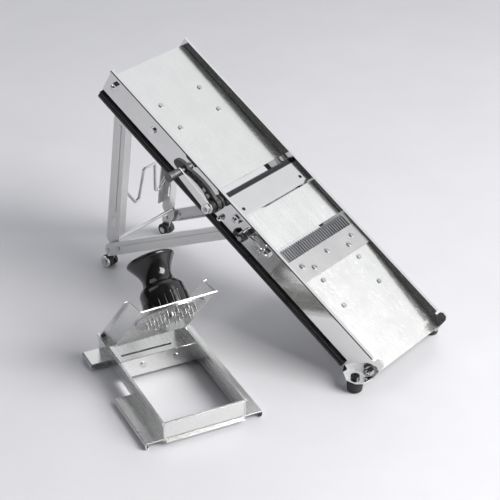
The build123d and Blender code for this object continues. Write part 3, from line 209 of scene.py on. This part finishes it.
def paint_edge_shade(material, start, colour):
    """Darkens a sheet beyond a line up the ramp with painted shade over the wavy edge, and stripes it with
    painted highlights and painted shade along the edge's ridges.
    """
    tree = material.node_tree
    shader = tree.nodes["Principled BSDF"]
    up = tree.nodes.new("ShaderNodeVectorMath")
    up.operation = "DOT_PRODUCT"
    up.inputs[1].default_value = (-math.cos(RAMP), 0.0, math.sin(RAMP))
    tree.links.new(tree.nodes["coords"].outputs["Object"], up.inputs[0])
    line = start - ramp_foot().x * math.cos(RAMP) + LIP_HEIGHT * math.sin(RAMP)
    # mask of the painted shade over the wavy edge, beyond the line up the ramp
    edge = spread(tree, up.outputs["Value"], 0.0, 1.0, line, line + 0.0006)
    ridge_light_bands = tree.nodes.new("ShaderNodeTexWave")
    ridge_light_bands.bands_direction = "Y"
    ridge_light_bands.inputs["Scale"].default_value = 1.0 / RIDGE_PITCH / BAND_RATIO
    tree.links.new(tree.nodes["coords"].outputs["Object"], ridge_light_bands.inputs["Vector"])
    # painted shade, striped with painted highlights where the ridges of the wavy edge would catch the light
    dark = two_colours(tree, ridge_light_bands.outputs["Fac"], shaded(colour, 0.35), shaded(colour, 3.2))
    mix = tree.nodes.new("ShaderNodeMix")
    mix.data_type = "RGBA"
    tree.links.new(edge, mix.inputs["Factor"])
    plain = shader.inputs["Base Color"].links[0].from_socket
    tree.links.new(plain, mix.inputs[6])
    tree.links.new(dark, mix.inputs[7])
    tree.links.new(mix.outputs[2], shader.inputs["Base Color"])


def plated(name, colour, roughness, cloud=90.0):
    """Small turned or plated fitting with a faint uneven lustre."""
    material, tree, shader = new_surface(name)
    shader.inputs["Metallic"].default_value = 1.0
    clouds = noise(tree, mapped(tree), cloud, 3.0)
    fine = noise(tree, mapped(tree), 2600.0, 2.0)
    tree.links.new(two_colours(tree, clouds, shaded(colour, 0.90), shaded(colour, 1.05)),
                   shader.inputs["Base Color"])
    tree.links.new(add_values(tree, spread(tree, clouds, roughness * 0.7, roughness * 1.4),
                              spread(tree, fine, 0.0, 0.05)), shader.inputs["Roughness"])
    bump(tree, shader, fine, 0.08, 0.00001)
    return material


def moulded_black(name, colour, roughness, coat=0.0, pebble=1500.0, depth=0.00001):
    """Black moulding with a fine skin, faint dust and rubbed patches."""
    material, tree, shader = new_surface(name)
    shader.inputs["Coat Weight"].default_value = coat
    shader.inputs["Coat Roughness"].default_value = 0.08
    shader.inputs["IOR"].default_value = 1.5
    skin = noise(tree, mapped(tree), pebble, 2.0)
    rub = noise(tree, mapped(tree), 60.0, 4.0, 0.6)
    tree.links.new(two_colours(tree, rub, colour, shaded(colour, 1.9)), shader.inputs["Base Color"])
    tree.links.new(add_values(tree, spread(tree, rub, roughness * 0.75, roughness * 1.4),
                              spread(tree, skin, -0.02, 0.05)), shader.inputs["Roughness"])
    bump(tree, shader, skin, 0.25, depth)
    return material


# ------------------------------------------------------------------ mesh helpers
def deselect():
    bpy.ops.object.select_all(action="DESELECT")


def make_active(obj):
    deselect()
    obj.select_set(True)
    bpy.context.view_layer.objects.active = obj


def body_of(node):
    for body, nodes in frame["record"]["behaviour"]["bodies"].items():
        if node in nodes:
            return body
    raise RuntimeError(f"{node} rides on no body")


def paint(obj, material):
    if obj.data.materials:
        for i in range(len(obj.data.materials)):
            obj.data.materials[i] = material
    else:
        obj.data.materials.append(material)


def paint_nodes(material, *nodes):
    for node in nodes:
        paint(frame["nodes"][node], material)


def deburr(node, material, width, segments, angle=32.0):
    """A copy of a sheet piece with its sharp edges broken, in place of the CAD node."""
    source = frame["nodes"][node]
    piece = bpy.data.objects.new(node + "_finished", source.data.copy())
    bpy.context.scene.collection.objects.link(piece)
    piece.hide_render = False
    make_active(piece)
    bpy.ops.object.mode_set(mode="EDIT")
    bpy.ops.mesh.select_all(action="SELECT")
    bpy.ops.mesh.remove_doubles(threshold=MERGE)
    bpy.ops.mesh.dissolve_limited(angle_limit=math.radians(0.5))
    bpy.ops.object.mode_set(mode="OBJECT")
    edge = piece.modifiers.new("edge", "BEVEL")
    edge.width = width
    edge.segments = segments
    edge.limit_method = "ANGLE"
    edge.angle_limit = math.radians(angle)
    edge.use_clamp_overlap = True
    edge.harden_normals = False
    bpy.ops.object.modifier_apply(modifier="edge")
    bpy.ops.object.mode_set(mode="EDIT")
    bpy.ops.mesh.select_all(action="SELECT")
    bpy.ops.mesh.quads_convert_to_tris()
    bpy.ops.object.mode_set(mode="OBJECT")
    bpy.ops.object.shade_smooth_by_angle(angle=SMOOTH_ANGLE)
    flat = piece.modifiers.new("flat", "WEIGHTED_NORMAL")
    flat.mode = "FACE_AREA"
    flat.weight = 50
    flat.keep_sharp = True
    bpy.ops.object.modifier_apply(modifier="flat")
    paint(piece, material)
    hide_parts(node)
    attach(piece, body_of(node))
    return piece


def finish_of(context):
    return context.scene.mandoline_finish


# ------------------------------------------------------------------ operators
class MANDOLINE_OT_walls(bpy.types.Operator):
    """Polish the side walls and break their edges"""
    bl_idname = "mandoline.walls"
    bl_label = "Side walls"

    def execute(self, context):
        f = finish_of(context)
        steel = rolled_steel("wall_polished_steel", f.steel_colour, f.polish * 0.35, (0, RAMP, 0), 0.03)
        for node in ("side_wall_left", "side_wall_right"):
            deburr(node, steel, f.edge_break, f.edge_segments)
        return {"FINISHED"}


class MANDOLINE_OT_rails(bpy.types.Operator):
    """Finish the black runner rails"""
    bl_idname = "mandoline.rails"
    bl_label = "Runner rails"

    def execute(self, context):
        f = finish_of(context)
        black = moulded_black("rail_black_plastic", f.black_colour, 0.30)
        for node in ("runner_rail_left", "runner_rail_right"):
            deburr(node, black, f.edge_break * 1.6, 3)
        return {"FINISHED"}


class MANDOLINE_OT_deck(bpy.types.Operator):
    """Finish the plates of the ramp, their stiffeners and rivets"""
    bl_idname = "mandoline.deck"
    bl_label = "Ramp plates"

    def execute(self, context):
        f = finish_of(context)
        along = (0, RAMP, 0)
        plate = rolled_steel("plate_polished_steel", f.steel_colour, f.polish, along, 0.06)
        middle = rolled_steel("middle_polished_steel", shaded(f.steel_colour, 1.02), f.polish * 1.1,
                              along, 0.08)
        comb = rolled_steel("comb_plate_satin_steel", f.satin_colour, 0.34,
                            (0, RAMP, CROSSWISE), 0.12, 1900.0)
        under = rolled_steel("stiffener_satin_steel", f.satin_colour, 0.30, along, 0.10)
        rivet = plated("rivet_steel", shaded(f.satin_colour, 1.25), 0.20)
        for node, look in (("upper_plate", plate), ("lower_plate", plate), ("middle_plate", middle),
                           ("comb_plate", comb)):
            deburr(node, look, f.edge_break, f.edge_segments)
        paint_nodes(under, "upper_plate_stiffener", "lower_plate_stiffener")
        paint_nodes(rivet, "upper_plate_rivets", "lower_plate_rivets", "comb_screws")
        return {"FINISHED"}


class MANDOLINE_OT_blades(bpy.types.Operator):
    """Finish the blade, the julienne comb and their fittings"""
    bl_idname = "mandoline.blades"
    bl_label = "Blades"

    def execute(self, context):
        f = finish_of(context)
        ground = rolled_steel("blade_ground_steel_painted_edge_shade", (0.74, 0.74, 0.74), 0.16, (0, RAMP, CROSSWISE), 0.06)
        # painted shade over the blade's wavy edge, with painted highlight stripes along its ridges; (0.05,
        # 0.05, 0.052) is the painted shade colour
        paint_edge_shade(ground, EDGE_LINE, (0.05, 0.05, 0.052))
        comb = rolled_steel("comb_tooth_steel", (0.42, 0.42, 0.43), 0.26, (0, RAMP, 0), 0.08)
        pins = plated("blade_pin_dark_steel", (0.05, 0.05, 0.055), 0.32)
        paint_nodes(ground, "blade")
        paint_nodes(comb, "julienne_comb")
        paint_nodes(plated("bracket_steel", f.satin_colour, 0.28), "blade_brackets")
        paint_nodes(pins, "blade_pins")
        return {"FINISHED"}


class MANDOLINE_OT_fasteners(bpy.types.Operator):
    """Finish the bolts, nuts and pins on the walls"""
    bl_idname = "mandoline.fasteners"
    bl_label = "Wall fasteners"

    def execute(self, context):
        chrome = plated("nut_bright_plating", (0.83, 0.83, 0.84), 0.09)
        dark = plated("bolt_dark_steel", (0.07, 0.07, 0.075), 0.34)
        paint_nodes(chrome, "lower_plate_bolts", "top_pivot_bolts", "guide_bolts", "middle_pivot_bolts",
                    "blade_bracket_bolts", "stop_pins")
        paint_nodes(dark, "brace_bolts", "low_foot_screws")
        return {"FINISHED"}


class MANDOLINE_OT_levers(bpy.types.Operator):
    """Finish the two thickness levers"""
    bl_idname = "mandoline.levers"
    bl_label = "Thickness levers"

    def execute(self, context):
        f = finish_of(context)
        black = moulded_black("lever_black_enamel", (0.018, 0.018, 0.019), 0.28, 0.4, 900.0)
        deburr("upper_lever_arm", black, f.edge_break * 1.8, 3)
        paint_nodes(black, "upper_lever_hub")
        paint_nodes(plated("handle_grey_metal", (0.16, 0.16, 0.165), 0.34, 160.0), "upper_lever_handle")
        deburr("upper_lever_link", rolled_steel("link_polished_steel", f.steel_colour, 0.18, (0, RAMP, 0)),
               f.edge_break, 2)
        paint_nodes(plated("lever_screw_plating", (0.80, 0.80, 0.81), 0.12), "upper_lever_nut",
                    "upper_lever_screws", "lower_lever_collar")
        paint_nodes(plated("lever_shaft_steel", f.satin_colour, 0.22), "upper_lever_shaft",
                    "lower_lever_shaft")
        paint_nodes(plated("lever_nut_dark_steel", (0.07, 0.07, 0.075), 0.30), "lower_lever_nut")
        deburr("lower_lever_arm", rolled_steel("lower_lever_steel", f.steel_colour, 0.16, (0, RAMP, 0)),
               f.edge_break * 1.4, 2)
        return {"FINISHED"}


class MANDOLINE_OT_stand(bpy.types.Operator):
    """Finish the fold-out rear stand"""
    bl_idname = "mandoline.stand"
    bl_label = "Rear stand"

    def execute(self, context):
        f = finish_of(context)
        leg = rolled_steel("leg_rolled_steel", shaded(f.steel_colour, 0.93), f.polish * 1.5,
                           (0, LEG_TURN, 0), 0.08)
        brace = rolled_steel("brace_rolled_steel", shaded(f.steel_colour, 0.93), f.polish * 1.4,
                             (0, BRACE_TURN, 0), 0.08)
        for node in ("stand_leg_left", "stand_leg_right"):
            deburr(node, leg, f.edge_break, f.edge_segments)
        for node in ("stand_brace_left", "stand_brace_right"):
            deburr(node, brace, f.edge_break, f.edge_segments)
        paint_nodes(plated("foot_cap_bright_steel", (0.80, 0.80, 0.80), 0.12), "stand_foot_caps")
        paint_nodes(plated("wire_bright_steel", (0.72, 0.72, 0.72), 0.14), "stand_wire", "stand_cross_rod")
        paint_nodes(plated("stand_rivet_steel", (0.60, 0.60, 0.60), 0.2), "brace_rivets", "stand_foot_screws")
        return {"FINISHED"}


class MANDOLINE_OT_feet(bpy.types.Operator):
    """Finish the rubber feet"""
    bl_idname = "mandoline.feet"
    bl_label = "Rubber feet"

    def execute(self, context):
        rubber = moulded_black("foot_black_rubber", (0.018, 0.018, 0.018), 0.55, 0.0, 1100.0, 0.00004)
        for node in ("low_rubber_feet", "stand_feet"):
            deburr(node, rubber, 0.0005, 3)
        return {"FINISHED"}


class MANDOLINE_OT_carriage(bpy.types.Operator):
    """Finish the food carriage"""
    bl_idname = "mandoline.carriage"
    bl_label = "Food carriage"

    def execute(self, context):
        f = finish_of(context)
        steel = rolled_steel("carriage_polished_steel", shaded(f.steel_colour, 0.97), f.polish * 1.1,
                             (0, 0, TRAY_TURN), 0.06)
        for node in ("carriage_left_side", "carriage_right_side", "carriage_front_wall", "carriage_rear_deck",
                     "carriage_stop_strip"):
            deburr(node, steel, f.edge_break * 0.8, f.edge_segments)
        paint_nodes(plated("carriage_rivet_steel", (0.66, 0.66, 0.66), 0.18), "carriage_rivets")
        return {"FINISHED"}


class MANDOLINE_OT_pusher(bpy.types.Operator):
    """Finish the pusher, its grip disc, prongs and knob"""
    bl_idname = "mandoline.pusher"
    bl_label = "Pusher"

    def execute(self, context):
        f = finish_of(context)
        sheet = rolled_steel("pusher_polished_steel", shaded(f.steel_colour, 0.98), f.polish,
                             (0, -PARK_TILT, PARK_TURN), 0.06)
        disc = rolled_steel("grip_disc_satin_steel", shaded(f.satin_colour, 1.25), 0.28,
                            (0, -PARK_TILT, PARK_TURN), 0.10, 1700.0)
        deburr("pusher_plate", sheet, f.edge_break * 0.9, f.edge_segments)
        deburr("pusher_disc", disc, f.edge_break * 0.8, f.edge_segments)
        gloss = moulded_black("knob_gloss_plastic", shaded(f.black_colour, 0.5), 0.12, 0.15, 700.0)
        paint_nodes(plated("prong_steel", (0.45, 0.45, 0.45), 0.22), "pusher_prongs", "pusher_screw")
        paint_nodes(gloss, "pusher_knob")
        deburr("pusher_knob_base", gloss, 0.0006, 3)
        return {"FINISHED"}


class MANDOLINE_OT_studio(bpy.types.Operator):
    """Lay the table, the soft light and the camera"""
    bl_idname = "mandoline.studio"
    bl_label = "Studio"

    def execute(self, context):
        s = context.scene.mandoline_studio
        deselect()
        bpy.ops.mesh.primitive_plane_add(size=s.table_size, location=(0, 0, 0))
        table = context.active_object
        table.name = "table_top"
        material, tree, shader = new_surface("table_plain")
        clouding = noise(tree, mapped(tree), 5.0, 6.0, 0.65)
        tree.links.new(two_colours(tree, clouding, shaded(s.table_colour, 0.97), shaded(s.table_colour, 1.03)),
                       shader.inputs["Base Color"])
        shader.inputs["Roughness"].default_value = 0.42
        paint(table, material)

        world = bpy.data.worlds.new("soft_studio")
        context.scene.world = world
        world.use_nodes = True
        sky = world.node_tree
        background = sky.nodes["Background"]
        direction = sky.nodes.new("ShaderNodeTexCoord")
        parts = sky.nodes.new("ShaderNodeSeparateXYZ")
        sky.links.new(direction.outputs["Generated"], parts.inputs["Vector"])
        side = spread(sky, parts.outputs["Y"], 0.0, 1.0, 0.05, 0.5)
        ramp = sky.nodes.new("ShaderNodeValToRGB")
        ramp.color_ramp.elements[0].color = (0.045, 0.046, 0.05, 1)
        ramp.color_ramp.elements[1].color = (0.93, 0.94, 0.96, 1)
        sky.links.new(side, ramp.inputs["Fac"])
        sky.links.new(ramp.outputs["Color"], background.inputs["Color"])
        background.inputs["Strength"].default_value = 0.95

        def area(name, place, aim, power, size, colour=(1, 1, 1)):
            data = bpy.data.lights.new(name, "AREA")
            data.energy = power
            data.shape = "RECTANGLE"
            data.size, data.size_y = size
            data.color = colour
            lamp = bpy.data.objects.new(name, data)
            context.scene.collection.objects.link(lamp)
            lamp.location = place
            lamp.rotation_mode = "QUATERNION"
            lamp.rotation_quaternion = (Vector(aim) - Vector(place)).to_track_quat("-Z", "Y")

        foot = ramp_foot()
        middle = foot + Vector((-0.1, -0.05, 0.08))
        area("key", middle + Vector((1.5, 0.5, 1.22)), middle, s.key_power, (1.3, 1.3), (1.0, 0.985, 0.96))
        area("fill", middle + Vector((-1.2, -0.85, 1.42)), middle, s.fill_power, (1.4, 1.4),
             (0.95, 0.97, 1.0))

        camera = bpy.data.objects.new("camera", bpy.data.cameras.new("camera"))
        context.scene.collection.objects.link(camera)
        camera.data.lens = s.lens
        camera.data.sensor_width = 36.0
        camera.data.clip_start, camera.data.clip_end = 0.05, 50.0
        camera.location = foot + Vector((0.6643, -1.0433, 0.8423))
        level = math.cos(CAMERA_PITCH)
        look = Vector((-0.637 * level, 0.771 * level, -math.sin(CAMERA_PITCH)))
        camera.rotation_mode = "QUATERNION"
        camera.rotation_quaternion = look.to_track_quat("-Z", "Y")
        context.scene.camera = camera
        context.scene.view_settings.view_transform = "Standard"
        return {"FINISHED"}


PIECE_OPERATORS = (
    MANDOLINE_OT_studio, MANDOLINE_OT_walls, MANDOLINE_OT_rails, MANDOLINE_OT_deck, MANDOLINE_OT_blades,
    MANDOLINE_OT_fasteners, MANDOLINE_OT_levers, MANDOLINE_OT_stand, MANDOLINE_OT_feet, MANDOLINE_OT_carriage,
    MANDOLINE_OT_pusher)


class MANDOLINE_PT_panel(bpy.types.Panel):
    bl_label = "Mandoline Slicer"
    bl_idname = "MANDOLINE_PT_panel"
    bl_space_type = "VIEW_3D"
    bl_region_type = "UI"
    bl_category = "Mandoline"

    def draw(self, context):
        for operator in PIECE_OPERATORS:
            self.layout.operator(operator.bl_idname)
        for group in (context.scene.mandoline_finish, context.scene.mandoline_studio):
            box = self.layout.box()
            for name in group.bl_rna.properties.keys():
                if name not in {"rna_type", "name"}:
                    box.prop(group, name)


CLASSES = (MANDOLINE_PG_finish, MANDOLINE_PG_studio, *PIECE_OPERATORS, MANDOLINE_PT_panel)


def register():
    for cls in CLASSES:
        bpy.utils.register_class(cls)
    bpy.types.Scene.mandoline_finish = PointerProperty(type=MANDOLINE_PG_finish)
    bpy.types.Scene.mandoline_studio = PointerProperty(type=MANDOLINE_PG_studio)


def unregister():
    del bpy.types.Scene.mandoline_studio
    del bpy.types.Scene.mandoline_finish
    for cls in reversed(CLASSES):
        bpy.utils.unregister_class(cls)


def main():
    register()
    for operator in PIECE_OPERATORS:
        group, action = operator.bl_idname.split(".")
        getattr(getattr(bpy.ops, group), action)()


if __name__ == "__main__":
    main()
